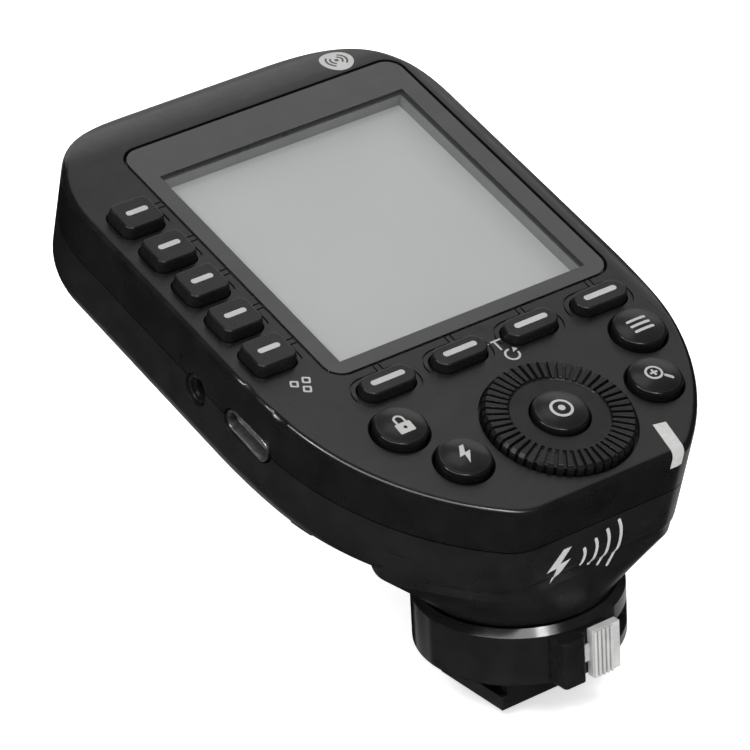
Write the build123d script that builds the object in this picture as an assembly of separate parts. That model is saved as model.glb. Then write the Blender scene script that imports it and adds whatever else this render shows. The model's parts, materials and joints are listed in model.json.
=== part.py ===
from build123d import *
import os
import math

# Wireless flash trigger. Millimetres, +Z up.
# Part frame: origin at the centre of the hot-shoe foot's underside, on the axis
# of the round shoe collar; +Y is the direction in which the foot slides into a
# shoe; the control panel leans by TILT, screen end up, dial end at -Y.
# Panel frame (used for everything but the shoe): x across, y up the panel,
# z out of the panel, z = 0 on the flat of the panel.

# ------------------------------------------------------------------ dimensions
TILT = 17.6              # lean of the control panel about X, degrees
PANEL_Y = 13.35          # part-frame place of the panel origin
PANEL_Z = 44.57

HALF_W = 29.95           # half width of the body
Y_STRAIGHT = 4.7         # where the straight sides end
R_A, R_B, R_C = 85.8, 38.2, 7.9     # radii of the tapering end
PHI_A, PHI_B = 7.33, 53.85          # turn reached after R_A and after R_B
HALF_WR = 29.3          # the right side stands a little closer in, and tapers later
YR_STRAIGHT, PHIR_B, RR_C = 3.0, 50.6, 5.0
Y_FAR = 55.4             # far (screen) end
R_CORNER = 18.0          # plan radius of the far corners
Z_SPLIT = -6.8           # joint between the two case shells
Z_FLOOR = -15.7          # underside of the bottom shell
WALL = 1.8               # shell thickness
SEAM = 0.24              # open line between the shells

WIN_X0, WIN_X1, WIN_Y0, WIN_Y1 = -18.88, 26.12, -2.30, 46.28   # window
LCD_X0, LCD_X1, LCD_Y0, LCD_Y1 = -16.38, 23.22, 0.0, 40.22     # lit area

GK_X, GK_Y0, GK_PITCH = -24.25, 34.15, 7.358    # group keys
GK_W, GK_H, GK_TOP = 6.3, 5.5, 1.7
FK_X0, FK_Y, FK_PITCH = -13.9, -6.55, 11.40     # function keys
FK_W, FK_H, FK_TOP = 8.2, 3.75, 1.4
KEY_GAP = 0.22           # clearance of a key in its hole
KEY_TRAVEL = 0.8

HOLE_R, ROUND_R, ROUND_TOP = 3.82, 3.58, 1.15     # round keys
ROUND_KEYS = {"mode_key": (-17.30, -13.97), "flash_key": (-13.55, -22.27),
              "menu_key": (21.25, -13.65), "zoom_key": (17.25, -22.00)}

DIAL_X, DIAL_Y, DIAL_R = 1.85, -21.85, 9.9    # dial
DIAL_TOP, DIAL_FLAT, DIAL_RIBS = 1.25, 0.95, 48
DIAL_RIB_R0 = 6.7
SET_R, SET_TOP = 3.72, 1.75

PCB_TOP, PCB_T = -6.0, 1.2
USB_Y, USB_Z = 0.0, -6.85                       # USB-C inlet
JACK_Y, JACK_Z = 10.9, -7.9                     # 2.5 mm sync jack
PWR_Y, PWR_Z = 8.0, -7.0                        # power switch, right side

CELL_R, CELL_L, CELL_X = 7.25, 50.5, 7.45       # two AA cells
CELL_Z, CELL_Y0 = -15.35, 1.5
BELLY_X, BELLY_Z, BELLY_Y0, BELLY_Y1 = 17.3, -24.4, -6.0, 54.5
DOOR_T, DOOR_X = 1.6, 14.95
DOOR_Y0 = 1.6

COLLAR_R, COLLAR_Z0, COLLAR_Z1 = 13.9, 4.6, 12.7   # shoe collar
FOOT_W, FOOT_Y0, FOOT_Y1, FOOT_T = 18.6, -7.95, 9.0, 2.0
STEM_W = 12.4
HUB_R = 7.4
NECK_R = 12.7
NECK_Z = 12.95           # part-frame height of the neck's end

# --------------------------------------------------------------------- helpers
os.makedirs("parts", exist_ok=True)
PANEL = Location((0, PANEL_Y, PANEL_Z), (TILT, 0, 0))


def solids_of(shape):
    return list(shape.solids())


def save(shape, name, panel=True):
    s = solids_of(shape)
    if panel:
        s = [PANEL * q for q in s]
    out = s[0] if len(s) == 1 else Compound(children=s)
    export_step(out, "parts/" + name + ".step")


def box(x0, x1, y0, y1, z0, z1):
    return Pos((x0 + x1) / 2, (y0 + y1) / 2, (z0 + z1) / 2) * Box(x1 - x0, y1 - y0, z1 - z0)


def cyl(x, y, r, z0, z1):
    return Pos(x, y, (z0 + z1) / 2) * Cylinder(r, z1 - z0)


def rrect(x0, x1, y0, y1, r, z0, z1):
    sk = Pos((x0 + x1) / 2, (y0 + y1) / 2, z0) * RectangleRounded(x1 - x0, y1 - y0, r)
    return extrude(sk, amount=z1 - z0, dir=(0, 0, 1))


def ring_xy(x, y, r1, r0, z0, z1):
    return cyl(x, y, r1, z0, z1) - cyl(x, y, r0, z0 - 1, z1 + 1)


# plan outline of the case, with an inward offset d
def chain(half_w, y0, r_a, r_b, r_c, phi_a, phi_b, d):
    # three tangent arcs from the straight side down to the end, left side
    x, y = -(half_w - d), y0
    arcs = []
    for r, a, b in ((r_a - d, 0, phi_a), (r_b - d, phi_a, phi_b), (r_c - d, phi_b, 90)):
        arcs.append((x, y, r, a, b))
        a, b = math.radians(a), math.radians(b)
        x += r * (math.cos(a) - math.cos(b))
        y -= r * (math.sin(b) - math.sin(a))
    return arcs, (x, y)


def on_arc(arcs, k, deg):
    x0, y0, r, a, b = arcs[k]
    a, p = math.radians(a), math.radians(deg)
    return (x0 + r * (math.cos(a) - math.cos(p)), y0 - r * (math.sin(p) - math.sin(a)))


def chains(d):
    la, le = chain(HALF_W, Y_STRAIGHT, R_A, R_B, R_C, PHI_A, PHI_B, d)
    ra, re = chain(HALF_WR, YR_STRAIGHT, R_A, R_B, RR_C, PHI_A, PHIR_B, d)
    # the two sides meet the straight end at one level: shift the right start
    dy = le[1] - re[1]
    ra = [(x, y + dy, r, a, b) for x, y, r, a, b in ra]
    return la, le, ra, (re[0], le[1])


def outline(d=0.0, z=0.0):
    la, le, ra, re = chains(d)
    line = []
    for k in range(3):
        a, b = la[k][3], la[k][4]
        line.append(ThreePointArc(on_arc(la, k, a), on_arc(la, k, (a + b) / 2), on_arc(la, k, b)))
    line.append(Line(le, (-re[0], re[1])))

    def m(p):
        return (-p[0], p[1])
    for k in (2, 1, 0):
        a, b = ra[k][3], ra[k][4]
        line.append(ThreePointArc(m(on_arc(ra, k, b)), m(on_arc(ra, k, (a + b) / 2)), m(on_arc(ra, k, a))))
    rc = R_CORNER - d
    yf = Y_FAR - d
    xr = HALF_WR - d
    xl = -(HALF_W - d)
    k = rc * (1 - math.sqrt(0.5))
    line.append(Line((xr, ra[0][1]), (xr, yf - rc)))
    line.append(ThreePointArc((xr, yf - rc), (xr - k, yf - k), (xr - rc, yf)))
    line.append(Line((xr - rc, yf), (xl + rc, yf)))
    line.append(ThreePointArc((xl + rc, yf), (xl + k, yf - k), (xl, yf - rc)))
    line.append(Line((xl, yf - rc), (xl, la[0][1])))
    return Pos(0, 0, z) * make_face(Wire(line))


def slab(d, z0, z1):
    return extrude(outline(d, z0), amount=z1 - z0, dir=(0, 0, 1))


def prism_yz(points, x0, x1):
    w = Polyline(*[(0, p[0], p[1]) for p in points], close=True)
    return Pos(x0, 0, 0) * extrude(make_face(w), amount=x1 - x0, dir=(1, 0, 0))


# ------------------------------------------------------------------- top shell
# The flat of the panel runs to y = 46.9, then the far margin falls away in an
# arc; the right edge falls away in a tighter one.
top_outer = slab(0, Z_SPLIT, 0)
a_end = math.asin((Y_FAR + 2 - 46.9) / 13.3)
end_w = Wire([
    Line((0, -60, 0), (0, 46.9, 0)),
    ThreePointArc((0, 46.9, 0), (0, 46.9 + 13.3 * math.sin(a_end / 2), -13.3 * (1 - math.cos(a_end / 2))),
                  (0, 46.9 + 13.3 * math.sin(a_end), -13.3 * (1 - math.cos(a_end)))),
    Line((0, 46.9 + 13.3 * math.sin(a_end), -13.3 * (1 - math.cos(a_end))), (0, 46.9 + 13.3 * math.sin(a_end), -20)),
    Line((0, 46.9 + 13.3 * math.sin(a_end), -20), (0, -60, -20)),
    Line((0, -60, -20), (0, -60, 0))])
top_outer = top_outer & (Pos(-50, 0, 0) * extrude(make_face(end_w), amount=100, dir=(1, 0, 0)))
rs, xs = 5.0, 26.5
a_s = math.asin((HALF_W + 1.5 - xs) / rs)
side_w = Wire([
    Line((-60, 0, 0), (xs, 0, 0)),
    ThreePointArc((xs, 0, 0), (xs + rs * math.sin(a_s / 2), 0, -rs * (1 - math.cos(a_s / 2))),
                  (xs + rs * math.sin(a_s), 0, -rs * (1 - math.cos(a_s)))),
    Line((xs + rs * math.sin(a_s), 0, -rs * (1 - math.cos(a_s))), (xs + rs * math.sin(a_s), 0, -20)),
    Line((xs + rs * math.sin(a_s), 0, -20), (-60, 0, -20)),
    Line((-60, 0, -20), (-60, 0, 0))])
top_outer = top_outer & (Pos(0, -60, 0) * extrude(make_face(side_w), amount=160, dir=(0, 1, 0)))
top_outer = top_outer.solids()[0]
rim = [e for e in top_outer.edges()
       if e.center().Z > -5.5 and not (abs(e.center().X) < 25 and -30 < e.center().Y < 54)
       and not (abs(e.center().X - xs) < 0.05) and e.bounding_box().size.Z < 4]
rim = [e for e in rim if e.bounding_box().max.Z > -5.0 and not
       (abs(e.center().Y - 46.9) < 0.05)]
top_solid = None
for rr in (0.9, 0.75, 0.6, 0.5):
    try:
        top_solid = fillet(rim, rr)
        print("rim fillet", rr, len(rim))
        break
    except Exception as ex:
        print("rim fillet failed", rr, type(ex).__name__)
if top_solid is None:
    top_solid = top_outer
top_solid = top_solid.solids()[0]

inner_top = slab(WALL, Z_SPLIT - 1, -WALL) & prism_yz(
    [(-60, -20), (-60, -WALL), (47.2, -WALL), (50.5, -2.6), (53.9, -5.0), (53.9, -20)], -50, 50)
top_shell = top_solid - inner_top


def key_rect(cx, cy, w, h, g, z0, z1, r):
    return rrect(cx - w / 2 - g, cx + w / 2 + g, cy - h / 2 - g, cy + h / 2 + g, r + g, z0, z1)


GROUP = [(GK_X, GK_Y0 - GK_PITCH * i) for i in range(5)]
FUNC = [(FK_X0 + FK_PITCH * i, FK_Y) for i in range(4)]

# dial seat: a thicker pad under a shallow round recess
top_shell += cyl(DIAL_X, DIAL_Y, 10.7, -2.9, -WALL + 0.1) & slab(WALL - 0.2, -3.0, -1.0)
cuts = []
cuts.append(cyl(DIAL_X, DIAL_Y, DIAL_R + 0.35, -1.4, 1))
cuts.append(cyl(DIAL_X, DIAL_Y, 6.35, -4, 1))
for (kx, ky) in GROUP:
    cuts.append(key_rect(kx, ky, GK_W, GK_H, KEY_GAP, -4, 1, 1.3))
for (kx, ky) in FUNC:
    cuts.append(key_rect(kx, ky, FK_W, FK_H, KEY_GAP, -4, 1, FK_H / 2 - 0.05))
for (kx, ky) in ROUND_KEYS.values():
    cuts.append(cyl(kx, ky, HOLE_R, -4, 1))
    cuts.append(Pos(kx, ky, -0.05) * Cone(HOLE_R, HOLE_R + 0.3, 0.3))
# window seat and screen opening
cuts.append(rrect(WIN_X0 - 0.28, WIN_X1 + 0.28, WIN_Y0 - 0.28, WIN_Y1 + 0.28, 2.9, -1.15, 1))
cuts.append(rrect(LCD_X0 - 1.0, LCD_X1 + 1.0, LCD_Y0 - 1.0, LCD_Y1 + 1.0, 0.3, -4, 1))


# fine engraved outline beside each key, open on one side, with a short link to
# the window seat
def engraved(cx, cy, w, h, r, keep):
    o = key_rect(cx, cy, w, h, 1.0, -0.22, 1, r)
    i = key_rect(cx, cy, w, h, 0.76, -1, 2, r)
    return (o - i) & keep


for (kx, ky) in GROUP:
    cuts.append(engraved(kx, ky, GK_W, GK_H, 1.5, box(kx + 0.6, kx + 5, ky + 1.65, ky + 5, -1, 1)))
    cuts.append(engraved(kx, ky, GK_W, GK_H, 1.5, box(kx + 2.4, kx + 5, ky - 2.0, ky + 0.85, -1, 1)))
    cuts.append(box(kx + GK_W / 2 + 0.8, WIN_X0 - 0.2, ky + 1.60, ky + 1.82, -0.22, 1))
    cuts.append(box(kx + GK_W / 2 + 0.8, WIN_X0 - 0.2, ky + 0.68, ky + 0.90, -0.22, 1))
for (kx, ky) in FUNC:
    cuts.append(engraved(kx, ky, FK_W, FK_H, FK_H / 2 - 0.05, box(kx - 5.4, kx + 0.65, ky - 0.6, ky + 5, -1, 1)))
    cuts.append(engraved(kx, ky, FK_W, FK_H, FK_H / 2 - 0.05, box(kx + 1.5, kx + 5.4, ky + 0.9, ky + 5, -1, 1)))
    cuts.append(engraved(kx, ky, FK_W, FK_H, FK_H / 2 - 0.05, box(kx + 3.2, kx + 5.4, ky - 2.2, ky + 0.95, -1, 1)))
    cuts.append(box(kx + 0.60, kx + 0.82, ky + FK_H / 2 + 0.8, WIN_Y0 - 0.2, -0.22, 1))
    cuts.append(box(kx + 1.45, kx + 1.67, ky + FK_H / 2 + 0.8, WIN_Y0 - 0.2, -0.22, 1))

# left-wall ports and right-wall switch, split between both shells
def obround_x(y, z, w, h, x0, x1):
    r = h / 2
    return (box(x0, x1, y - w / 2 + r, y + w / 2 - r, z - r, z + r)
            + Pos((x0 + x1) / 2, y - w / 2 + r, z) * Rot(0, 90, 0) * Cylinder(r, x1 - x0)
            + Pos((x0 + x1) / 2, y + w / 2 - r, z) * Rot(0, 90, 0) * Cylinder(r, x1 - x0))


def cyl_x(y, z, r, x0, x1):
    return Pos((x0 + x1) / 2, y, z) * Rot(0, 90, 0) * Cylinder(r, x1 - x0)


port_cuts = [obround_x(USB_Y, USB_Z, 9.5, 3.8, -31, -27),
             cyl_x(JACK_Y, JACK_Z, 2.25, -31, -27),
             box(27.3, 31, PWR_Y - 4.4, PWR_Y + 4.4, PWR_Z - 1.7, PWR_Z + 1.7),
             box(29.1, 31, PWR_Y - 5.2, PWR_Y + 5.2, PWR_Z - 2.3, PWR_Z + 2.3)]
cuts += port_cuts

# status lamp: an inlaid strip that runs over the edge and down the wall
LAMP_X, LAMP_Y = 12.45, -30.8
lamp_strip = Pos(LAMP_X, LAMP_Y, 0) * Rot(0, 0, -10.5) * Box(1.9, 4.9, 5.2)
lamp_strip = Pos(0, -0.0, 0) * lamp_strip
lamp_wall = Pos(LAMP_X - 0.55, LAMP_Y - 3.0, 0) * Rot(0, 0, -10.5) * Box(1.9, 3.0, 5.2)
lamp_raw = (lamp_strip + lamp_wall) & top_solid
lamp_core = slab(0.9, -6, -0.8)
status_lamp = lamp_raw - lamp_core
lamp_cut = (Pos(LAMP_X, LAMP_Y, 0) * Rot(0, 0, -10.5) * Box(1.98, 4.98, 5.28)
            + Pos(LAMP_X - 0.55, LAMP_Y - 3.0, 0) * Rot(0, 0, -10.5) * Box(1.98, 3.2, 5.28)) - slab(0.94, -6, -0.84)
cuts.append(lamp_cut)

for c in cuts:
    top_shell = top_shell - c

# screw posts
POSTS = [(-20.0, 47.6), (20.0, 47.6), (-25.2, -9.7), (25.2, -9.6)]
for (px, py) in POSTS:
    r = 2.1 if py > 0 else 1.3
    top_shell += cyl(px, py, r, -8.4, -1.5 if py < 0 else -2.2) - cyl(px, py, 0.83, -9, -3.4)
top_shell = top_shell.solids().sort_by(SortBy.VOLUME)[-1]
save(top_shell, "top_shell")
print("top shell", top_shell.volume, top_shell.is_valid)

# ---------------------------------------------------------------- bottom shell
low = slab(0, Z_FLOOR, Z_SPLIT)
try:
    e_low = [e for e in low.edges() if abs(e.center().Z - Z_FLOOR) < 0.01]
    low = fillet(e_low, 2.6)
except Exception as ex:
    print("floor fillet failed", ex)
low = low.solids()[0]


# neck: from the tapering end of the body down to the round shoe collar
def tail_points(d):
    la, le, ra, re = chains(d)
    left = [(-7.0, 1.0 - d), (-13.4 + d, -2.4 - d), (-18.6 + d, -9.4), (-21.6 + d, -16.2)]
    right = [(-x, y) for x, y in left]
    left += [on_arc(la, 1, 32), on_arc(la, 1, 42), on_arc(la, 1, 52), on_arc(la, 2, 68), (le[0] + 2.2, le[1])]
    rr = [on_arc(ra, 1, 32), on_arc(ra, 1, 41), on_arc(ra, 1, 49.5), on_arc(ra, 2, 66), (re[0] + 1.6, re[1])]
    right += [(-x, y) for x, y in rr]
    return left + list(reversed(right))


def circle_points(r, n_left):
    # matching points on the collar plane, part frame, from back-left round to back-right
    degs = [112, 136, 156, 176, 196, 214, 230, 246, 260]
    left = [(r * math.cos(math.radians(q)), r * math.sin(math.radians(q))) for q in degs]
    right = [(-x, y) for x, y in reversed(left)]
    return left + right


def to_panel(p):
    y, z = p[1] - PANEL_Y, p[2] - PANEL_Z
    c, s = math.cos(math.radians(TILT)), math.sin(math.radians(TILT))
    return (p[0], y * c + z * s, -y * s + z * c)


def neck_loft(d, z_top, z_mid, z_end, r_end):
    tp = tail_points(d)
    s0 = Spline(*[(x, y, z_top) for x, y in tp], periodic=True)
    s1 = Spline(*[(x, y, z_mid) for x, y in tp], periodic=True)
    cp = [to_panel((x, y, z_end)) for x, y in circle_points(r_end, 0)]
    s2 = Spline(*cp, periodic=True)
    f0 = Face(Wire([s0]))
    f1 = Face(Wire([s1]))
    f2 = Face(Wire([s2]))
    a = loft([f0, f1], ruled=True)
    b = loft([f1, f2], ruled=True)
    return a + b


neck = neck_loft(0.25, -11.0, Z_FLOOR - 0.1, NECK_Z, NECK_R)
neck_in = neck_loft(2.3, Z_SPLIT + 1, Z_FLOOR - 0.1, NECK_Z + 1.6, NECK_R - 2.0)

belly = rrect(-BELLY_X, BELLY_X, BELLY_Y0, BELLY_Y1, 3.0, BELLY_Z, -12)
try:
    belly = fillet([e for e in belly.edges() if abs(e.center().Z - BELLY_Z) < 0.01], 1.4)
except Exception as ex:
    print("belly fillet failed", ex)

bottom = low + neck + belly
bottom = bottom - slab(WALL, Z_FLOOR + WALL, Z_SPLIT + 1)
bottom = bottom - neck_in
# battery bay, open below; the door's opening runs out of the far end
BAY_X, BAY_Y0, BAY_Y1 = 15.2, -0.9, 52.9
bottom = bottom - box(-BAY_X, BAY_X, BAY_Y0, BAY_Y1, -22.75, Z_SPLIT + 1)
bottom = bottom - box(-BAY_X, BAY_X, DOOR_Y0 - 0.25, 60, BELLY_Z - 1, -22.7)
bottom = bottom - box(-16.2, 16.2, 3.6, 60, -23.55, -22.6)
# bay end wall towards the neck, and the neck's closing wall
bottom += box(-16.6, 16.6, -2.4, BAY_Y0, -22.9, -8.0) & (low + neck + belly)
# base flange of the neck, where the collar is screwed on
flange = Pos(0, 0, 0) * (cyl(0, 0, NECK_R - 1.2, NECK_Z, NECK_Z + 1.6))
flange = PANEL.inverse() * flange
bottom += flange
wire_hole = PANEL.inverse() * cyl(0, 0, 2.6, 10, 18)
bottom -= wire_hole
for sx, sy in ((-5.6, -5.6), (5.6, -5.6), (-5.6, 5.6), (5.6, 5.6)):
    bottom -= PANEL.inverse() * cyl(sx, sy, 1.15, 10, 18)
# seam line round the top edge
bottom -= slab(-1, Z_SPLIT - SEAM, Z_SPLIT + 1) - slab(0.45, Z_SPLIT - 2, Z_SPLIT + 2)
for c in port_cuts:
    bottom -= c
# screw posts with sunk heads
for (px, py) in POSTS:
    r = 2.9
    bottom += (cyl(px, py, r, Z_FLOOR + 0.4, -8.6) & slab(0.9, -20, 0))
    bottom -= cyl(px, py, 1.1, -20, -7)
    bottom -= cyl(px, py, 2.0, -20, Z_FLOOR + 2.2)
bottom_shell = bottom.solids().sort_by(SortBy.VOLUME)[-1]
print("bottom shell", len(bottom.solids()), bottom_shell.volume, bottom_shell.is_valid)
save(bottom_shell, "bottom_shell")
save(status_lamp.solids().sort_by(SortBy.VOLUME)[-1], "status_lamp")

# ---------------------------------------------------------------- screen stack
window = rrect(WIN_X0, WIN_X1, WIN_Y0, WIN_Y1, 2.65, -0.95, -0.05)
try:
    window = chamfer([e for e in window.edges() if abs(e.center().Z + 0.05) < 0.01], 0.12)
except Exception as ex:
    print("window chamfer", ex)
save(window, "lcd_window")
mask = rrect(WIN_X0 + 0.1, WIN_X1 - 0.1, WIN_Y0 + 0.1, WIN_Y1 - 0.1, 2.5, -1.13, -0.97) \
    - box(LCD_X0, LCD_X1, LCD_Y0, LCD_Y1, -2, 0)
save(mask, "window_mask")
frame_ = box(LCD_X0 - 1.9, LCD_X1 + 1.15, LCD_Y0 - 2.2, LCD_Y1 + 4.2, -2.85, -1.9) \
    + box(LCD_X0 - 0.85, LCD_X1 + 0.85, LCD_Y0 - 0.85, LCD_Y1 + 0.85, -1.95, -1.18)
frame_ -= box(LCD_X0 + 0.05, LCD_X1 - 0.05, LCD_Y0 + 0.05, LCD_Y1 - 0.05, -3, 0)
save(frame_, "lcd_frame")
save(box(LCD_X0 - 1.9, LCD_X1 + 1.15, LCD_Y0 - 2.2, LCD_Y1 + 4.2, -3.9, -2.87), "lcd_glass")
save(box(LCD_X0 - 1.7, LCD_X1 + 1.0, LCD_Y0 - 2.0, LCD_Y1 + 4.0, -5.6, -3.95), "lcd_backlight")

# ------------------------------------------------------------------------ keys
def cap(cx, cy, w, h, r, top, tr, hole):
    b = rrect(cx - w / 2, cx + w / 2, cy - h / 2, cy + h / 2, r, -2.6, 0.2)
    inset = (top - 0.2) * math.tan(math.radians(tr))
    t = loft([(Pos(cx, cy, 0.2) * RectangleRounded(w, h, r)).faces()[0],
              (Pos(cx, cy, top) * RectangleRounded(w - 2 * inset, h - 2 * inset, r - inset)).faces()[0]], ruled=True)
    k = b + t
    try:
        k = fillet([e for e in k.edges() if e.center().Z > top - 0.01], 0.28)
    except Exception as ex:
        print("cap fillet", type(ex).__name__)
    fl = rrect(cx - w / 2 - 0.55, cx + w / 2 + 0.45, cy - h / 2 - 0.55, cy + h / 2 + 0.55, r + 0.3, -2.9, -2.05)
    return k + fl


for i, (kx, ky) in enumerate(GROUP):
    k = cap(kx, ky, GK_W, GK_H, 1.2, GK_TOP, 9, 0)
    k += box(kx - 1.2, kx + 1.2, ky - 1.2, ky + 1.2, -3.05, -2.8)
    save(k, "group_key_%d" % (i + 1))
for i, (kx, ky) in enumerate(FUNC):
    k = cap(kx, ky, FK_W, FK_H, FK_H / 2 - 0.06, FK_TOP, 7, 0)
    k += box(kx - 1.4, kx + 1.4, ky - 1.0, ky + 1.0, -3.05, -2.8)
    save(k, "function_key_%d" % (i + 1))


def dome(cx, cy, r, z0, z_rim, rise, fl):
    # turned key: straight side, rounded rim, slightly domed top
    a = r - 0.48
    R = (a * a + rise * rise) / (2 * rise)
    zm = z_rim + rise - (R - math.sqrt(R * R - (a / 2) ** 2))

    def p(u, v):
        return (u, 0, v)
    w = Wire([Line(p(0, z0), p(r, z0)), Line(p(r, z0), p(r, z_rim - 0.45)),
              ThreePointArc(p(r, z_rim - 0.45), p(r - 0.14, z_rim - 0.12), p(a, z_rim)),
              ThreePointArc(p(a, z_rim), p(a / 2, zm), p(0, z_rim + rise)),
              Line(p(0, z_rim + rise), p(0, z0))])
    k = revolve(make_face(w), axis=Axis.Z)
    if fl:
        k = k + cyl(0, 0, HOLE_R + 0.25, -2.9, -2.05) + cyl(0, 0, 1.3, -3.4, -2.8)
    return Pos(cx, cy, 0) * k


for nm, (kx, ky) in ROUND_KEYS.items():
    k = dome(kx, ky, ROUND_R, -2.6, ROUND_TOP, 0.35, True)
    k = k & (slab(WALL + 0.35, -4, -1) + cyl(kx, ky, ROUND_R + 0.01, -4, 3))
    save(k, nm)

# dial: ribbed ring on a hub that drives the encoder
prof = Polyline((3.95, -2.4), (6.0, -2.4), (6.0, -1.1), (DIAL_R, -1.1), (DIAL_R, DIAL_TOP - 0.45),
                (DIAL_R - 0.45, DIAL_TOP), (DIAL_RIB_R0, DIAL_TOP), (DIAL_RIB_R0 - 0.25, DIAL_FLAT),
                (4.05, DIAL_FLAT), (3.95, DIAL_FLAT - 0.1), (3.95, -2.4))
dial = revolve(make_face(Plane.XZ * prof), axis=Axis.Z)
grooves = []
for i in range(DIAL_RIBS):
    grooves.append(Rot(0, 0, 360.0 / DIAL_RIBS * (i + 0.5)) * (
        Pos((DIAL_RIB_R0 + 11) / 2, 0, DIAL_TOP) * Box(11 - DIAL_RIB_R0 + 0.3, 0.46, 1.0)))
    grooves.append(Rot(0, 0, 360.0 / DIAL_RIBS * (i + 0.5)) * (
        Pos(DIAL_R + 0.2, 0, 0.2) * Box(1.2, 0.46, 2.4)))
dial = dial - grooves
dial = Pos(DIAL_X, DIAL_Y, 0) * dial
save(dial.solids().sort_by(SortBy.VOLUME)[-1], "dial")
print("dial", len(dial.solids()), dial.volume)
sk = dome(0, 0, SET_R, -1.6, SET_TOP, 0.4, False) + cyl(0, 0, 1.4, -2.25, -1.5)
sk = Pos(DIAL_X, DIAL_Y, 0) * sk
save(sk, "set_key")
enc = ring_xy(DIAL_X, DIAL_Y, 6.3, 2.0, PCB_TOP + 0.02, -3.0) + cyl(DIAL_X, DIAL_Y, 2.2, PCB_TOP + 0.02, -3.6)
save(enc, "encoder_body")

# rubber key mats with a dome under each key
gm = rrect(-28.0, -20.3, 1.0, 38.0, 1.0, -4.9, -4.3)
for (kx, ky) in GROUP:
    gm += Pos(kx, ky, -4.3 + 0.1) * Cone(2.4, 1.5, 0.42)
save(gm, "group_key_mat")
fm = rrect(-19.0, 23.4, -9.3, -3.6, 1.0, -4.9, -4.3)
for (kx, ky) in FUNC:
    fm += Pos(kx, ky, -4.3 + 0.1) * Cone(1.9, 1.3, 0.42)
save(fm, "function_key_mat")
sw = []
for (kx, ky) in ROUND_KEYS.values():
    s_ = box(kx - 1.9, kx + 1.9, ky - 1.9, ky + 1.9, PCB_TOP + 0.02, -4.6) + cyl(kx, ky, 1.2, -4.7, -4.3)
    sw.append(s_.solids()[0])
save(Compound(children=sw), "tact_switches")

# ------------------------------------------------------------------ electronics
pcb = slab(2.2, PCB_TOP - PCB_T, PCB_TOP)
for (px, py) in POSTS:
    pcb -= cyl(px, py, 2.5, -9, -5)
pcb -= box(-30, -21.6, USB_Y - 4.9, USB_Y + 4.9, -9, -5)
pcb -= box(-30, -19.6, JACK_Y - 3.1, JACK_Y + 3.1, -9, -5)
pcb -= box(24.0, 30, PWR_Y - 5.0, PWR_Y + 5.0, -9, -5)
pcb = pcb & prism_yz([(-60, -20), (-60, 0), (52.0, 0), (52.0, -20)], -50, 50)
save(pcb.solids().sort_by(SortBy.VOLUME)[-1], "main_pcb")
usb = obround_x(USB_Y, USB_Z, 8.94, 3.26, -29.75, -22.4) - obround_x(USB_Y, USB_Z, 8.34, 2.66, -31, -23.0)
save(usb, "usb_socket")
save(box(-28.9, -23.02, USB_Y - 3.35, USB_Y + 3.35, USB_Z - 0.35, USB_Z + 0.35), "usb_tongue")
jack = (cyl_x(JACK_Y, JACK_Z, 2.0, -29.55, -26.5) + box(-27.8, -20.0, JACK_Y - 2.7, JACK_Y + 2.7, JACK_Z - 2.6, JACK_Z + 2.2)) \
    - cyl_x(JACK_Y, JACK_Z, 1.28, -31, -21.2)
jack -= cyl_x(JACK_Y, JACK_Z, 1.62, -31, -29.0)
save(jack, "sync_jack")
save(box(24.4, 27.2, PWR_Y - 4.6, PWR_Y + 4.6, PWR_Z - 2.0, PWR_Z + 2.0)
     - box(26.3, 28, PWR_Y - 3.6, PWR_Y + 3.6, PWR_Z - 0.9, PWR_Z + 0.9), "power_switch_body")
knob = box(27.55, 29.1, PWR_Y - 3.9, PWR_Y + 0.9, PWR_Z - 1.45, PWR_Z + 1.45)
knob += box(26.45, 27.65, PWR_Y - 2.4, PWR_Y - 0.6, PWR_Z - 0.6, PWR_Z + 0.6)
for i in range(4):
    knob += box(28.95, 29.35, PWR_Y - 3.3 + i * 1.1, PWR_Y - 2.9 + i * 1.1, PWR_Z - 1.2, PWR_Z + 1.2)
save(knob, "power_knob")
save(box(-10.5, 7.5, -33.0 + 5.2, -13.0, -9.9, -7.25) & box(-10.5, 7.5, -28, -14.5, -9.9, -7.25), "radio_module")
ant = Pos(-14.5, -14, -9.2) * Rot(0, 0, 0) * Cylinder(0.9, 14, rotation=(90, 0, 0))
save(ant, "antenna")
save(cyl(13.5, -16.5, 4.5, -11.0, -7.25), "buzzer")

# ---------------------------------------------------------------------- battery
tray = box(-15.05, 15.05, -0.75, 52.75, -13.6, -7.35) - box(-14.9 + 0.0, 14.9, CELL_Y0 - 2.0, 52.5, -14, -7.95)
save(tray, "battery_tray")
cells = []
for sx in (-1, 1):
    lo = CELL_Y0 + 0.2 if sx > 0 else CELL_Y0 - 0.7
    c_ = Pos(sx * CELL_X, lo + (CELL_L - 1.0) / 2, CELL_Z) * Rot(90, 0, 0) * Cylinder(CELL_R - 0.02, CELL_L - 1.0)
    nub = lo + CELL_L - 0.6 if sx > 0 else lo - 0.4
    c_ += Pos(sx * CELL_X, nub, CELL_Z) * Rot(90, 0, 0) * Cylinder(2.7, 1.2)
    cells.append(c_.solids()[0])
save(Compound(children=cells), "aa_cells")
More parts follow.
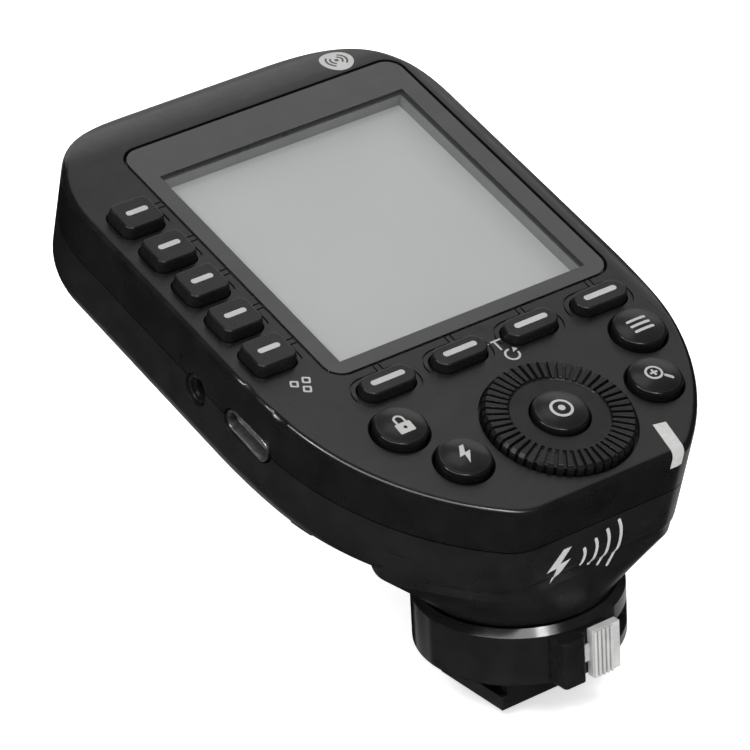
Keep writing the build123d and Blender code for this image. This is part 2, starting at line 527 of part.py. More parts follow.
# spring contacts (conical, as touching rings) and flat contacts
springs = []
plates = []
for sx in (-1, 1):
    ys = 0.35 if sx > 0 else 51.65
    s_ = None
    for j, rr in enumerate((4.2, 3.8, 3.4)):
        t = Pos(sx * CELL_X, ys + sx * j * 0.36, CELL_Z) * Rot(90, 0, 0) * Torus(rr, 0.32)
        s_ = t if s_ is None else s_ + t
    springs.append(s_)
save(Compound(children=[q.solids()[0] for q in springs]), "battery_springs")
for sx in (-1, 1):
    if sx > 0:
        plates.append(box(sx * CELL_X - 4, sx * CELL_X + 4, 52.22, 52.48, CELL_Z - 4, CELL_Z + 4))
    else:
        plates.append(box(sx * CELL_X - 4, sx * CELL_X + 4, -0.48, -0.22, CELL_Z - 4, CELL_Z + 4))
save(Compound(children=[q.solids()[0] for q in plates]), "battery_contacts")
door = box(-DOOR_X, DOOR_X, DOOR_Y0, BELLY_Y1 - 0.3, BELLY_Z, BELLY_Z + DOOR_T)
try:
    door = fillet([e for e in door.edges() if abs(e.center().Z - BELLY_Z) < 0.01 and e.center().Y > 50], 0.8)
except Exception as ex:
    print("door fillet", ex)
door += box(-15.95, 15.95, 3.9, 50.5, -23.4, BELLY_Z + DOOR_T)
for i in range(6):
    door -= box(-6, 6, 40.0 + i * 1.5, 40.6 + i * 1.5, BELLY_Z - 1, BELLY_Z + 0.35)
save(door, "battery_door")

# ---------------------------------------------------------------- case fasteners
scr = []
for (px, py) in POSTS:
    z_head = Z_FLOOR + 2.2
    s_ = cyl(px, py, 1.8, z_head - 1.2, z_head - 0.02) + cyl(px, py, 0.8, z_head - 0.5, -4.2)
    s_ -= (Pos(px, py, z_head - 1.2) * (Box(2.2, 0.5, 1.0) + Box(0.5, 2.2, 1.0)))
    scr.append(s_.solids()[0])
save(Compound(children=scr), "case_screws")

# --------------------------------------------------------------------- hot shoe
collar = cyl(0, 0, COLLAR_R, COLLAR_Z0, COLLAR_Z1)
collar = chamfer([e for e in collar.edges() if abs(e.center().Z - COLLAR_Z1) < 0.01], 0.9)
collar = fillet([e for e in collar.edges() if abs(e.center().Z - COLLAR_Z0) < 0.01], 0.5)
collar -= cyl(0, 0, 11.6, COLLAR_Z0 - 1, 10.4)
collar -= ring_xy(0, 0, 13.0, 12.0, 12.3, 14)
collar -= cyl(0, 0, 2.6, 9, 14)


def sector(r0, r1, a0, a1, z0, z1):
    n = 8
    pts = [(r1 * math.cos(math.radians(a0 + (a1 - a0) * i / n)), r1 * math.sin(math.radians(a0 + (a1 - a0) * i / n))) for i in range(n + 1)]
    pts += [(r0 * math.cos(math.radians(a1 + (a0 - a1) * i / n)), r0 * math.sin(math.radians(a1 + (a0 - a1) * i / n))) for i in range(n + 1)]
    return Pos(0, 0, z0) * extrude(make_face(Polyline(*pts, close=True)), amount=z1 - z0, dir=(0, 0, 1))


LEVER_SWEEP = 36
collar -= sector(10.5, 16.0, 248, 284 + LEVER_SWEEP, 6.3, 9.7)
SHOE_SCREWS = ((-4.2, -5.0), (4.2, -5.0), (-4.2, 4.4), (4.2, 4.4))
for sx, sy in SHOE_SCREWS:
    collar -= cyl(sx, sy, 0.82, 9, 14)
save(collar.solids().sort_by(SortBy.VOLUME)[-1], "shoe_collar", panel=False)

hw = FOOT_W / 2
PIN_Y = 6.0
CONTACTS = ((-2.5, 2.3), (2.5, 2.3), (-2.5, -2.3), (2.5, -2.3))


def shoe_holes(shape, pin_top=9.4):
    # ways for the locking pin, the contacts and the screws
    shape -= cyl(0, PIN_Y, 1.1, -1, pin_top)
    shape -= cyl(0, 0, 1.05, -1, 5.05)
    for sx, sy in CONTACTS:
        shape -= cyl(sx, sy, 0.65, -1, 5.05)
    for sx, sy in SHOE_SCREWS:
        shape -= cyl(sx, sy, 0.85, -1, 11)
        shape -= cyl(sx, sy, 1.5, -1, 1.25)
    return shape


# plate that slides between the rails of a shoe
foot = extrude(make_face(Polyline((-hw, FOOT_Y0), (hw, FOOT_Y0), (hw, 4.8), (hw - 3.9, FOOT_Y1), (-hw + 3.9, FOOT_Y1), (-hw, 4.8), close=True)), amount=FOOT_T)
save(shoe_holes(foot).solids().sort_by(SortBy.VOLUME)[-1], "shoe_foot", panel=False)
# stem between the rails, with the stop behind it
stem = box(-STEM_W / 2, STEM_W / 2, FOOT_Y0 + 0.2, 7.6, FOOT_T, COLLAR_Z0)
stem += box(-hw + 1.0, hw - 1.0, FOOT_Y0, FOOT_Y0 + 1.5, FOOT_T, COLLAR_Z0)
save(shoe_holes(stem).solids().sort_by(SortBy.VOLUME)[-1], "shoe_stem", panel=False)
# disc and hub inside the collar, on which the lever turns
hub = cyl(0, 0, 11.3, COLLAR_Z0, COLLAR_Z0 + 1.0) + cyl(0, 0, HUB_R, COLLAR_Z0, 10.35)
save(shoe_holes(hub).solids().sort_by(SortBy.VOLUME)[-1], "shoe_hub", panel=False)
ct = [cyl(0, 0, 1.0, 0.0, 5.0).solids()[0]] + [cyl(sx, sy, 0.6, 0.0, 5.0).solids()[0] for sx, sy in CONTACTS]
save(Compound(children=ct), "shoe_contacts", panel=False)
sc = []
for sx, sy in SHOE_SCREWS:
    s_ = cyl(sx, sy, 1.4, 0.25, 1.22) + cyl(sx, sy, 0.75, 1.0, 11.9)
    s_ -= Pos(sx, sy, 0.25) * (Box(1.6, 0.4, 0.8) + Box(0.4, 1.6, 0.8))
    sc.append(s_.solids()[0])
save(Compound(children=sc), "shoe_screws", panel=False)
save(cyl(0, PIN_Y, 1.03, 0.15, 7.6), "locking_pin", panel=False)

# lock lever: ring inside the collar, arm through the slot, block outside
lever = ring_xy(0, 0, 11.1, 7.8, 6.7, 9.3)
lever += sector(10.6, 15.0, 256, 278, 6.7, 9.3)
LX0, LX1, LXS = -5.4, 3.55, -1.95          # block, and where the button starts
LY = -16.3                                 # rear face
block = box(LX0, LXS, LY, -10, 5.3, 11.9)
block = fillet([e for e in block.edges().filter_by(Axis.Z) if e.center().Y < -15], 0.5)
block += box(LX0 + 0.5, LX1 - 0.5, -14.95, -10, 5.5, 11.7)
block -= cyl(0, 0, COLLAR_R + 0.3, 0, 20)
lever += block
lever -= box(LXS - 2.3, LXS + 1, -16.0 + 0.35, -15.2 + 0.15, 7.4, 10.2)
lever = lever.solids().sort_by(SortBy.VOLUME)[-1]
save(lever, "lock_lever", panel=False)
btn = box(LXS + 1.1, LX1, LY + 0.1, -15.1, 5.3, 12.1)
btn += box(LXS - 0.6, LXS + 1.5, -15.55, -15.15, 7.6, 10.0)
for i in range(5):
    x = LXS + 1.1 + 0.1 + i * 0.66
    btn += box(x, x + 0.36, LY - 0.2, LY + 0.3, 5.3, 12.0)
save(btn, "release_button", panel=False)
print("done")
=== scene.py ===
import json
import math

import bmesh
import bpy
from mathutils import Matrix, Vector
from mathutils.bvhtree import BVHTree


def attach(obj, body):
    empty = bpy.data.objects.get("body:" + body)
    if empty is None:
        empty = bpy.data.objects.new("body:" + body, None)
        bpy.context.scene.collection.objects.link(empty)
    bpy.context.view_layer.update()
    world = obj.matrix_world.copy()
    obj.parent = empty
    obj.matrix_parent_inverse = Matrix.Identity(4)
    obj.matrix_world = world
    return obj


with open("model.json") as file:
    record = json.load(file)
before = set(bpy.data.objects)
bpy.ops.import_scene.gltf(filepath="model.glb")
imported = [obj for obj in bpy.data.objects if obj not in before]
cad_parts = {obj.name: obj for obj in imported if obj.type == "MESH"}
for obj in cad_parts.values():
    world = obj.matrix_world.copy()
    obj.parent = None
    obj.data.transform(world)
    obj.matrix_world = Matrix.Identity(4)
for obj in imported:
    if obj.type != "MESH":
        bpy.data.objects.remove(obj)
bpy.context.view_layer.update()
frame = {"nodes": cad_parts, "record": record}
nodes = frame["nodes"]

# ------------------------------------------------------------ the panel's frame
# Millimetres on the leaning control panel: x across, y up the panel, z out of it.
MM = 0.001
TILT = math.radians(17.6)
COS, SIN = math.cos(TILT), math.sin(TILT)
PX = Vector((1, 0, 0))
PY = Vector((0, COS, SIN))
PZ = Vector((0, -SIN, COS))
P0 = Vector((0, 13.35, 44.57)) * MM


def panel(x, y, z=0.0):
    return P0 + (PX * x + PY * y + PZ * z) * MM


# ------------------------------------------------------------------- materials
class Nodes:
    """Short hand for building one material's node tree."""

    def __init__(self, name):
        self.mat = bpy.data.materials.new(name)
        self.mat.use_nodes = True
        self.nt = self.mat.node_tree
        self.bsdf = self.nt.nodes["Principled BSDF"]
        self.out = self.nt.nodes["Material Output"]
        self.co = self.nt.nodes.new("ShaderNodeTexCoord").outputs["Object"]

    def new(self, kind, **kw):
        n = self.nt.nodes.new(kind)
        for k, v in kw.items():
            setattr(n, k, v)
        return n

    def link(self, a, b):
        self.nt.links.new(a, b)

    def noise(self, scale, detail=3.0, rough=0.5, co=None):
        n = self.new("ShaderNodeTexNoise")
        n.inputs["Scale"].default_value = scale
        n.inputs["Detail"].default_value = detail
        n.inputs["Roughness"].default_value = rough
        self.link(co or self.co, n.inputs["Vector"])
        return n.outputs["Fac"]

    def remap(self, value, a, b, c, d):
        n = self.new("ShaderNodeMapRange")
        for i, v in zip(("From Min", "From Max", "To Min", "To Max"), (a, b, c, d)):
            n.inputs[i].default_value = v
        self.link(value, n.inputs["Value"])
        return n.outputs["Result"]

    def math(self, op, a, b):
        n = self.new("ShaderNodeMath", operation=op)
        for i, v in enumerate((a, b)):
            if isinstance(v, (int, float)):
                n.inputs[i].default_value = v
            else:
                self.link(v, n.inputs[i])
        return n.outputs[0]

    def mix(self, fac, a, b):
        n = self.new("ShaderNodeMix", data_type="RGBA")
        self.link(fac, n.inputs[0])
        for i, v in ((6, a), (7, b)):
            if isinstance(v, (tuple, list)):
                n.inputs[i].default_value = (*v, 1)
            else:
                self.link(v, n.inputs[i])
        return n.outputs[2]

    def rounding(self, radius):
        bev = self.new("ShaderNodeBevel", samples=6)
        bev.inputs["Radius"].default_value = radius
        return bev.outputs[0]

    def edges(self, radius):
        """1 along sharp outer and inner edges, 0 on the flats, broken up by noise."""
        bev = self.new("ShaderNodeBevel", samples=4)
        bev.inputs["Radius"].default_value = radius
        geo = self.new("ShaderNodeNewGeometry")
        dot = self.new("ShaderNodeVectorMath", operation="DOT_PRODUCT")
        self.link(bev.outputs[0], dot.inputs[0])
        self.link(geo.outputs["Normal"], dot.inputs[1])
        e = self.remap(dot.outputs["Value"], 0.80, 0.985, 1.0, 0.0)
        return self.math("MULTIPLY", e, self.remap(self.noise(900, 4, 0.65), 0.42, 0.62, 0.15, 1.0))


def plastic(name, color, rough, grain=0.35, grain_scale=3800, wear=0.5, wear_color=None, edge=0.00022, mottling=0.25, spec=0.5, rolled=0.0, soft=0.0):
    """Injection-moulded plastic: fine spark texture, soft cloudiness, polished edges.
    rolled takes that much roughness off the rolled edge between the panel and the walls;
    soft is the radius of the small rounding shown on sharp edges, in metres."""
    m = Nodes(name)
    lo = tuple(c * (1 - mottling) for c in color)
    hi = tuple(min(1, c * (1 + mottling)) for c in color)
    cloud = m.remap(m.noise(240, 4, 0.6), 0.3, 0.7, 0.0, 1.0)
    base = m.mix(cloud, lo, hi)
    rub = m.edges(edge)
    wc = wear_color or tuple(min(1, c * 2.0 + 0.012) for c in color)
    base = m.mix(m.math("MULTIPLY", rub, wear), base, wc)
    m.link(base, m.bsdf.inputs["Base Color"])
    m.bsdf.inputs["Specular IOR Level"].default_value = spec
    r = m.remap(m.noise(420, 5, 0.6), 0.25, 0.75, rough - 0.05, rough + 0.06)
    r = m.math("SUBTRACT", r, m.math("MULTIPLY", rub, 0.10 * min(1, wear * 2)))
    flat = None
    if rolled:
        tc = m.new("ShaderNodeTexCoord")
        lean = m.new("ShaderNodeVectorMath", operation="DOT_PRODUCT")
        m.link(tc.outputs["Normal"], lean.inputs[0])
        lean.inputs[1].default_value = tuple(PZ)
        roll = m.math("MULTIPLY", m.remap(lean.outputs["Value"], 0.93, 0.995, 1.0, 0.0),
                      m.remap(lean.outputs["Value"], 0.10, 0.35, 0.0, 1.0))
        r = m.math("SUBTRACT", r, m.math("MULTIPLY", roll, rolled))
        flat = m.math("SUBTRACT", 1.0, m.math("MULTIPLY", roll, 0.8))
    m.link(r, m.bsdf.inputs["Roughness"])
    if grain:
        bump = m.new("ShaderNodeBump")
        bump.inputs["Strength"].default_value = grain
        if flat:
            m.link(m.math("MULTIPLY", flat, grain), bump.inputs["Strength"])
        bump.inputs["Distance"].default_value = 0.00002
        m.link(m.noise(grain_scale, 2, 0.5), bump.inputs["Height"])
        if soft:
            m.link(m.rounding(soft), bump.inputs["Normal"])
        m.link(bump.outputs[0], m.bsdf.inputs["Normal"])
    return m.mat


def metal(name, color, rough, scratch=0.25, scale=(300, 300, 5200), soft=0.0):
    m = Nodes(name)
    mp = m.new("ShaderNodeMapping")
    mp.inputs["Scale"].default_value = scale
    m.link(m.co, mp.inputs["Vector"])
    streak = m.noise(1.0, 4, 0.65, mp.outputs[0])
    m.link(m.mix(m.remap(streak, 0.3, 0.7, 0, 1), tuple(c * 0.85 for c in color), color), m.bsdf.inputs["Base Color"])
    m.link(m.remap(streak, 0.25, 0.75, rough - 0.05, rough + 0.08), m.bsdf.inputs["Roughness"])
    m.bsdf.inputs["Metallic"].default_value = 1.0
    bump = m.new("ShaderNodeBump")
    bump.inputs["Strength"].default_value = scratch
    bump.inputs["Distance"].default_value = 0.00001
    m.link(streak, bump.inputs["Height"])
    if soft:
        m.link(m.rounding(soft), bump.inputs["Normal"])
    m.link(bump.outputs[0], m.bsdf.inputs["Normal"])
    return m.mat


def window():
    """Clear polished acrylic: sight and light go straight through, gloss on top."""
    m = Nodes("acrylic_clear")
    clear = m.new("ShaderNodeBsdfTransparent")
    clear.inputs["Color"].default_value = (0.985, 0.99, 0.99, 1)
    gloss = m.new("ShaderNodeBsdfGlossy")
    m.link(m.remap(m.noise(140, 4, 0.6), 0.3, 0.7, 0.03, 0.07), gloss.inputs["Roughness"])
    m.nt.nodes.remove(m.bsdf)
    fres = m.new("ShaderNodeFresnel")
    fres.inputs["IOR"].default_value = 1.49
    mix = m.new("ShaderNodeMixShader")
    geo = m.new("ShaderNodeNewGeometry")
    front = m.math("SUBTRACT", 1.0, geo.outputs["Backfacing"])
    m.link(m.math("MULTIPLY", fres.outputs[0], front), mix.inputs[0])
    m.link(clear.outputs[0], mix.inputs[1])
    m.link(gloss.outputs[0], mix.inputs[2])
    m.link(mix.outputs[0], m.out.inputs["Surface"])
    return m.mat


def display():
    """A reflective LCD, switched off: pale grey, a faint pixel mesh and cloudiness."""
    m = Nodes("lcd_surface")
    fine = m.noise(6000, 1, 0.4)
    cloud = m.noise(60, 2, 0.5)
    base = m.mix(m.remap(cloud, 0.3, 0.7, 0, 1), (0.335, 0.337, 0.335), (0.345, 0.347, 0.345))
    base = m.mix(m.remap(fine, 0.45, 0.75, 0, 0.06), base, (0.30, 0.302, 0.300))
    m.link(base, m.bsdf.inputs["Base Color"])
    m.link(m.remap(cloud, 0.3, 0.7, 0.34, 0.44), m.bsdf.inputs["Roughness"])
    return m.mat


def cell_jacket():
    """AA cell: printed sleeve with bare ends, by place along the panel's up axis."""
    m = Nodes("cell_jacket")
    dot = m.new("ShaderNodeVectorMath", operation="DOT_PRODUCT")
    m.link(m.co, dot.inputs[0])
    dot.inputs[1].default_value = tuple(PY)
    off = P0.dot(PY)
    y = m.math("SUBTRACT", dot.outputs["Value"], off)
    end = m.math("MAXIMUM", m.remap(y, 0.0020, 0.0024, 1, 0), m.remap(y, 0.0500, 0.0504, 0, 1))
    band = m.math("MULTIPLY", m.remap(y, 0.0380, 0.0382, 0, 1), m.remap(y, 0.0440, 0.0442, 1, 0))
    cloud = m.remap(m.noise(200, 3, 0.5), 0.3, 0.7, 0, 1)
    c = m.mix(cloud, (0.035, 0.055, 0.09), (0.05, 0.075, 0.12))
    c = m.mix(band, c, (0.45, 0.46, 0.47))
    c = m.mix(end, c, (0.62, 0.62, 0.60))
    m.link(c, m.bsdf.inputs["Base Color"])
    m.link(m.math("MULTIPLY", end, 0.9), m.bsdf.inputs["Metallic"])
    m.link(m.remap(m.noise(500, 3, 0.5), 0.3, 0.7, 0.24, 0.36), m.bsdf.inputs["Roughness"])
    return m.mat


BLACK = (0.0062, 0.0062, 0.0065)
MATS = {
    "case_black": plastic("moulded_black", BLACK, 0.30, grain=0.42, grain_scale=4200, wear=0.0, edge=0.00020, rolled=0.09),
    # painted light: the lower shell gets a paler copy of the top shell's moulded black, a painted highlight standing in
    # for the soft sheen on its lower walls
    "case_lower_black": plastic("moulded_black_lower_painted_light", (0.0095, 0.0095, 0.0097), 0.30, grain=0.22, wear=0.0),
    "window_clear": window(),
    "mask_black": plastic("mask_film", (0.040, 0.040, 0.041), 0.30, grain=0.10, wear=0.0, mottling=0.08),
    "lcd_frame_grey": plastic("lcd_frame_grey", (0.20, 0.20, 0.20), 0.5, grain=0.2, wear=0.0, mottling=0.06),
    "lcd_face": display(),
    "backlight_white": plastic("light_guide", (0.72, 0.72, 0.70), 0.35, grain=0.1, wear=0.0, mottling=0.04),
    "key_black": plastic("key_black", (0.0080, 0.0080, 0.0083), 0.26, grain=0.16, wear=0.30, edge=0.00018, spec=0.38, soft=0.00022),
    "key_gloss": plastic("key_gloss", (0.0060, 0.0060, 0.0062), 0.20, grain=0.08, wear=0.30, edge=0.00015, spec=0.26, soft=0.00012),
    "dial_black": plastic("dial_black", (0.0070, 0.0070, 0.0072), 0.24, grain=0.16, wear=0.45, edge=0.00012, spec=0.35, soft=0.00012),
    "lamp_diffuser": plastic("lamp_diffuser", (0.40, 0.40, 0.39), 0.28, grain=0.10, wear=0.0, mottling=0.06),
    "usb_steel": metal("usb_steel", (0.90, 0.90, 0.89), 0.34, 0.06, soft=0.00013),
    "tongue_grey": plastic("tongue_grey", (0.055, 0.055, 0.056), 0.34, grain=0.15, wear=0.3),
    "jack_black": plastic("jack_black", (0.010, 0.010, 0.010), 0.20, grain=0.10, wear=0.5, soft=0.00015),
    "switch_black": plastic("switch_black", (0.012, 0.012, 0.012), 0.36, grain=0.3, wear=0.4),
    "pcb_green": plastic("solder_mask", (0.012, 0.085, 0.030), 0.28, grain=0.2, wear=0.2, mottling=0.2),
    "silicone_grey": plastic("silicone_grey", (0.085, 0.085, 0.088), 0.62, grain=0.4, wear=0.1),
    "shield_tin": metal("shield_tin", (0.62, 0.61, 0.59), 0.30, 0.3),
    "antenna_brass": metal("antenna_brass", (0.72, 0.52, 0.24), 0.28, 0.5, (300, 2600, 300)),
    "buzzer_black": plastic("buzzer_black", (0.013, 0.013, 0.013), 0.42, grain=0.3, wear=0.3),
    "cell_jacket": cell_jacket(),
    "contact_nickel": metal("contact_nickel", (0.66, 0.64, 0.60), 0.22, 0.25),
    "screw_steel": metal("screw_black_zinc", (0.16, 0.16, 0.165), 0.32, 0.3),
    "collar_gloss": plastic("collar_gloss", (0.0110, 0.0110, 0.0112), 0.15, grain=0.03, wear=0.10, edge=0.00014),
    "foot_black": plastic("foot_black", (0.0100, 0.0100, 0.0102), 0.30, grain=0.15, wear=0.60, soft=0.00020),
    "contact_gold": metal("contact_gold", (0.80, 0.60, 0.26), 0.20, 0.2),
    "lever_black": plastic("lever_black", (0.0090, 0.0090, 0.0092), 0.26, grain=0.18, wear=0.45, soft=0.00025),
    "release_grey": plastic("release_grey", (0.46, 0.46, 0.455), 0.42, grain=0.35, wear=0.35, wear_color=(0.56, 0.56, 0.55), soft=0.00012),
    "pin_steel": metal("pin_steel", (0.60, 0.60, 0.59), 0.24, 0.3),
}
PRINT_LIGHT = plastic("print_light_grey", (0.34, 0.34, 0.335), 0.48, grain=0.15, wear=0.0, mottling=0.08)
PRINT_MARK = plastic("print_mark", (0.40, 0.40, 0.395), 0.46, grain=0.15, wear=0.0, mottling=0.06)
BORDER = plastic("window_border", (0.050, 0.050, 0.051), 0.12, grain=0.02, wear=0.0, mottling=0.05, spec=0.62)
PRINT_DARK = plastic("print_dark", (0.045, 0.045, 0.046), 0.45, grain=0.10, wear=0.0, mottling=0.1)
PRINT_DISC = plastic("print_disc", (0.36, 0.36, 0.355), 0.40, grain=0.10, wear=0.0, mottling=0.06)

slot_of = {s["node"]: s["material_slot"] for s in frame["record"]["subparts"]}
for name, obj in nodes.items():
    obj.data.materials.clear()
    obj.data.materials.append(MATS[slot_of[name]])

# --------------------------------------------------- flat outlines for the marks
def capsule(x0, y0, x1, y1, w, n=10):
    """A stroke with round ends."""
    d = Vector((x1 - x0, y1 - y0))
    a = math.atan2(d.y, d.x)
    r = w / 2
    pts = [(x1 + r * math.cos(a - math.pi / 2 + math.pi * i / n), y1 + r * math.sin(a - math.pi / 2 + math.pi * i / n)) for i in range(n + 1)]
    pts += [(x0 + r * math.cos(a + math.pi / 2 + math.pi * i / n), y0 + r * math.sin(a + math.pi / 2 + math.pi * i / n)) for i in range(n + 1)]
    return [pts]


def circle(x, y, r, n=48):
    return [(x + r * math.cos(2 * math.pi * i / n), y + r * math.sin(2 * math.pi * i / n)) for i in range(n)]


def ring(x, y, r1, r0):
    return [circle(x, y, r1), circle(x, y, r0)]


def rounded(x, y, w, h, r, n=6):
    pts = []
    for cx, cy, a in ((x + w / 2 - r, y + h / 2 - r, 0), (x - w / 2 + r, y + h / 2 - r, 90), (x - w / 2 + r, y - h / 2 + r, 180), (x + w / 2 - r, y - h / 2 + r, 270)):
        for i in range(n + 1):
            t = math.radians(a + 90 * i / n)
            pts.append((cx + r * math.cos(t), cy + r * math.sin(t)))
    return pts


def arc(x, y, r, w, a0, a1, n=24):
    """An arc stroke with round ends."""
    pts, r1, r0 = [], r + w / 2, r - w / 2
    A = [math.radians(a0 + (a1 - a0) * i / n) for i in range(n + 1)]
    pts += [(x + r1 * math.cos(t), y + r1 * math.sin(t)) for t in A]
    ex, ey = x + r * math.cos(A[-1]), y + r * math.sin(A[-1])
    pts += [(ex + w / 2 * math.cos(A[-1] + math.pi * i / 8), ey + w / 2 * math.sin(A[-1] + math.pi * i / 8)) for i in range(1, 8)]
    pts += [(x + r0 * math.cos(t), y + r0 * math.sin(t)) for t in reversed(A)]
    sx, sy = x + r * math.cos(A[0]), y + r * math.sin(A[0])
    pts += [(sx + w / 2 * math.cos(A[0] + math.pi + math.pi * i / 8), sy + w / 2 * math.sin(A[0] + math.pi + math.pi * i / 8)) for i in range(1, 8)]
    return [pts]


def turned(shapes, deg, ox=0.0, oy=0.0, k=1.0):
    c, s = math.cos(math.radians(deg)), math.sin(math.radians(deg))
    return [[[(ox + k * (x * c - y * s), oy + k * (x * s + y * c)) for x, y in loop] for loop in shape] for shape in shapes]


def bolt(k=1.0):
    return [[(x * k, y * k) for x, y in ((0.10, 1.0), (-0.62, -0.12), (-0.08, -0.05), (-0.22, -1.0), (0.62, 0.22), (0.06, 0.14), (0.52, 1.0))]]


# -------------------------------------------------------- thin printed pieces
_bvh = {}


def surface_of(node):
    if node not in _bvh:
        o = nodes[node]
        o.data.calc_loop_triangles()
        _bvh[node] = BVHTree.FromPolygons([v.co.copy() for v in o.data.vertices], [tuple(t.vertices) for t in o.data.loop_triangles])
    return _bvh[node]


def printed(name, shapes, origin, right, up, on, body, material, cell=0.45, lift=0.028, sink=0.03):
    """A closed, thin print lying on the surface of a CAD node, riding on its body.
    shapes is a list of outlines with holes, in millimetres on the plane of origin, right and up."""
    right, up = right.normalized(), up.normalized()
    out = right.cross(up)
    tree = surface_of(on)
    flat = bmesh.new()
    for loops in shapes:
        cu = bpy.data.curves.new("outline", "CURVE")
        cu.dimensions, cu.fill_mode = "2D", "BOTH"
        for loop in loops:
            sp = cu.splines.new("POLY")
            sp.points.add(len(loop) - 1)
            for p, (x, y) in zip(sp.points, loop):
                p.co = (x, y, 0, 1)
            sp.use_cyclic_u = True
        tmp = bpy.data.objects.new("outline", cu)
        me = bpy.data.meshes.new_from_object(tmp)
        flat.from_mesh(me)
        bpy.data.objects.remove(tmp)
        bpy.data.curves.remove(cu)
        bpy.data.meshes.remove(me)
    bmesh.ops.remove_doubles(flat, verts=flat.verts, dist=1e-5)
    xs = [v.co.x for v in flat.verts]
    ys = [v.co.y for v in flat.verts]
    for axis, lo, hi in ((0, min(xs), max(xs)), (1, min(ys), max(ys))):
        k = math.ceil(lo / cell)
        while k * cell < hi:
            n = Vector((1, 0, 0)) if axis == 0 else Vector((0, 1, 0))
            bmesh.ops.bisect_plane(flat, geom=flat.verts[:] + flat.edges[:] + flat.faces[:], plane_co=n * (k * cell), plane_no=n, dist=1e-6)
            k += 1
    flat.verts.index_update()
    tops, bottoms = [], []
    for v in flat.verts:
        q = origin + (right * v.co.x + up * v.co.y) * MM
        hit, nor, _, _ = tree.ray_cast(q + out * 0.006, -out, 0.02)
        if hit is None:
            raise RuntimeError(f"{name}: a point of the print misses {on}")
        if nor.dot(out) < 0:
            nor = -nor
        tops.append(hit + nor * lift * MM)
        bottoms.append(hit - nor * sink * MM)
    n = len(tops)
    faces = []
    for f in flat.faces:
        idx = [v.index for v in f.verts]
        if f.normal.z < 0:
            idx.reverse()
        faces.append(idx)
        faces.append([i + n for i in reversed(idx)])
    for e in flat.edges:
        if len(e.link_faces) == 1:
            f = e.link_faces[0]
            idx = [v.index for v in f.verts]
            if f.normal.z < 0:
                idx.reverse()
            a, b = e.verts[0].index, e.verts[1].index
            i = idx.index(a)
            if idx[(i + 1) % len(idx)] != b:
                a, b = b, a
            faces.append([b, a, a + n, b + n])
    flat.free()
    me = bpy.data.meshes.new(name)
    me.from_pydata([tuple(v) for v in tops + bottoms], [], faces)
    me.validate()
    o = bpy.data.objects.new(name, me)
    bpy.context.scene.collection.objects.link(o)
    me.materials.append(material)
    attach(o, body)
    return o


# dark border of the window, level with its face and open over the display
border = [rounded(3.62, 21.99, 44.66, 48.24, 2.45, 10), [(-16.38, 0.0), (23.22, 0.0), (23.22, 40.22), (-16.38, 40.22)]]
printed("window_border", [border], panel(0, 0, 0), PX, PY, "lcd_window", "case", BORDER, cell=8.0, lift=0.012, sink=0.10)

# bars on the group and function keys
for i in range(5):
    k = f"group_key_{i + 1}"
    printed(k + "_bar", [[rounded(0, 0, 3.3, 0.82, 0.40)]], panel(-24.17, 34.31 - 7.358 * i, 1.7), PX, PY, k, k, PRINT_LIGHT)
for i in range(4):
    k = f"function_key_{i + 1}"
    printed(k + "_bar", [[rounded(0, 0, 5.2, 0.86, 0.42)]], panel(-13.81 + 11.40 * i, -6.41, 1.4), PX, PY, k, k, PRINT_LIGHT)

# mode key: padlock; flash key: bolt; menu key: list; zoom key: lens with a cross; set key: ring and dot
shackle = [(-0.78, 0.0), (-0.78, 0.62)] + [(0.78 * math.cos(math.radians(a)), 0.62 + 0.78 * math.sin(math.radians(a))) for a in range(165, 0, -15)] \
    + [(0.78, 0.62), (0.78, 0.0), (0.46, 0.0), (0.46, 0.62)] + [(0.46 * math.cos(math.radians(a)), 0.62 + 0.46 * math.sin(math.radians(a))) for a in range(15, 180, 15)] + [(-0.46, 0.62), (-0.46, 0.0)]
padlock = [[rounded(0, -0.85, 2.3, 1.68, 0.22), circle(0, -0.85, 0.26, 20)], [shackle]]
printed("mode_key_padlock", padlock, panel(-17.30, -13.97, 1.4), PX, PY, "mode_key", "mode_key", PRINT_LIGHT, cell=0.4)
printed("flash_key_bolt", [bolt(1.55)], panel(-13.55, -22.27, 1.4), PX, PY, "flash_key", "flash_key", PRINT_LIGHT, cell=0.4)
bars = [capsule(-1.35, y, 1.35, y, 0.42) for y in (0.95, 0.0, -0.95)]
printed("menu_key_bars", bars, panel(21.25, -13.65, 1.4), PX, PY, "menu_key", "menu_key", PRINT_LIGHT, cell=0.4)
cross = [[(-0.16, 0.55), (0.16, 0.55), (0.16, 0.16), (0.55, 0.16), (0.55, -0.16), (0.16, -0.16), (0.16, -0.55), (-0.16, -0.55), (-0.16, -0.16), (-0.55, -0.16), (-0.55, 0.16), (-0.16, 0.16)]]
lens = [ring(0, 0, 1.22, 0.90), cross, capsule(1.10, -1.10, 1.72, -1.72, 0.46)]
printed("zoom_key_lens", turned(lens, 0, -0.25, 0.25), panel(17.25, -22.00, 1.4), PX, PY, "zoom_key", "zoom_key", PRINT_LIGHT, cell=0.4)
printed("set_key_target", [ring(0, 0, 1.55, 1.18), [circle(0, 0, 0.48, 28)]], panel(1.85, -21.85, 1.9), PX, PY, "set_key", "set_key", PRINT_LIGHT, cell=0.4)

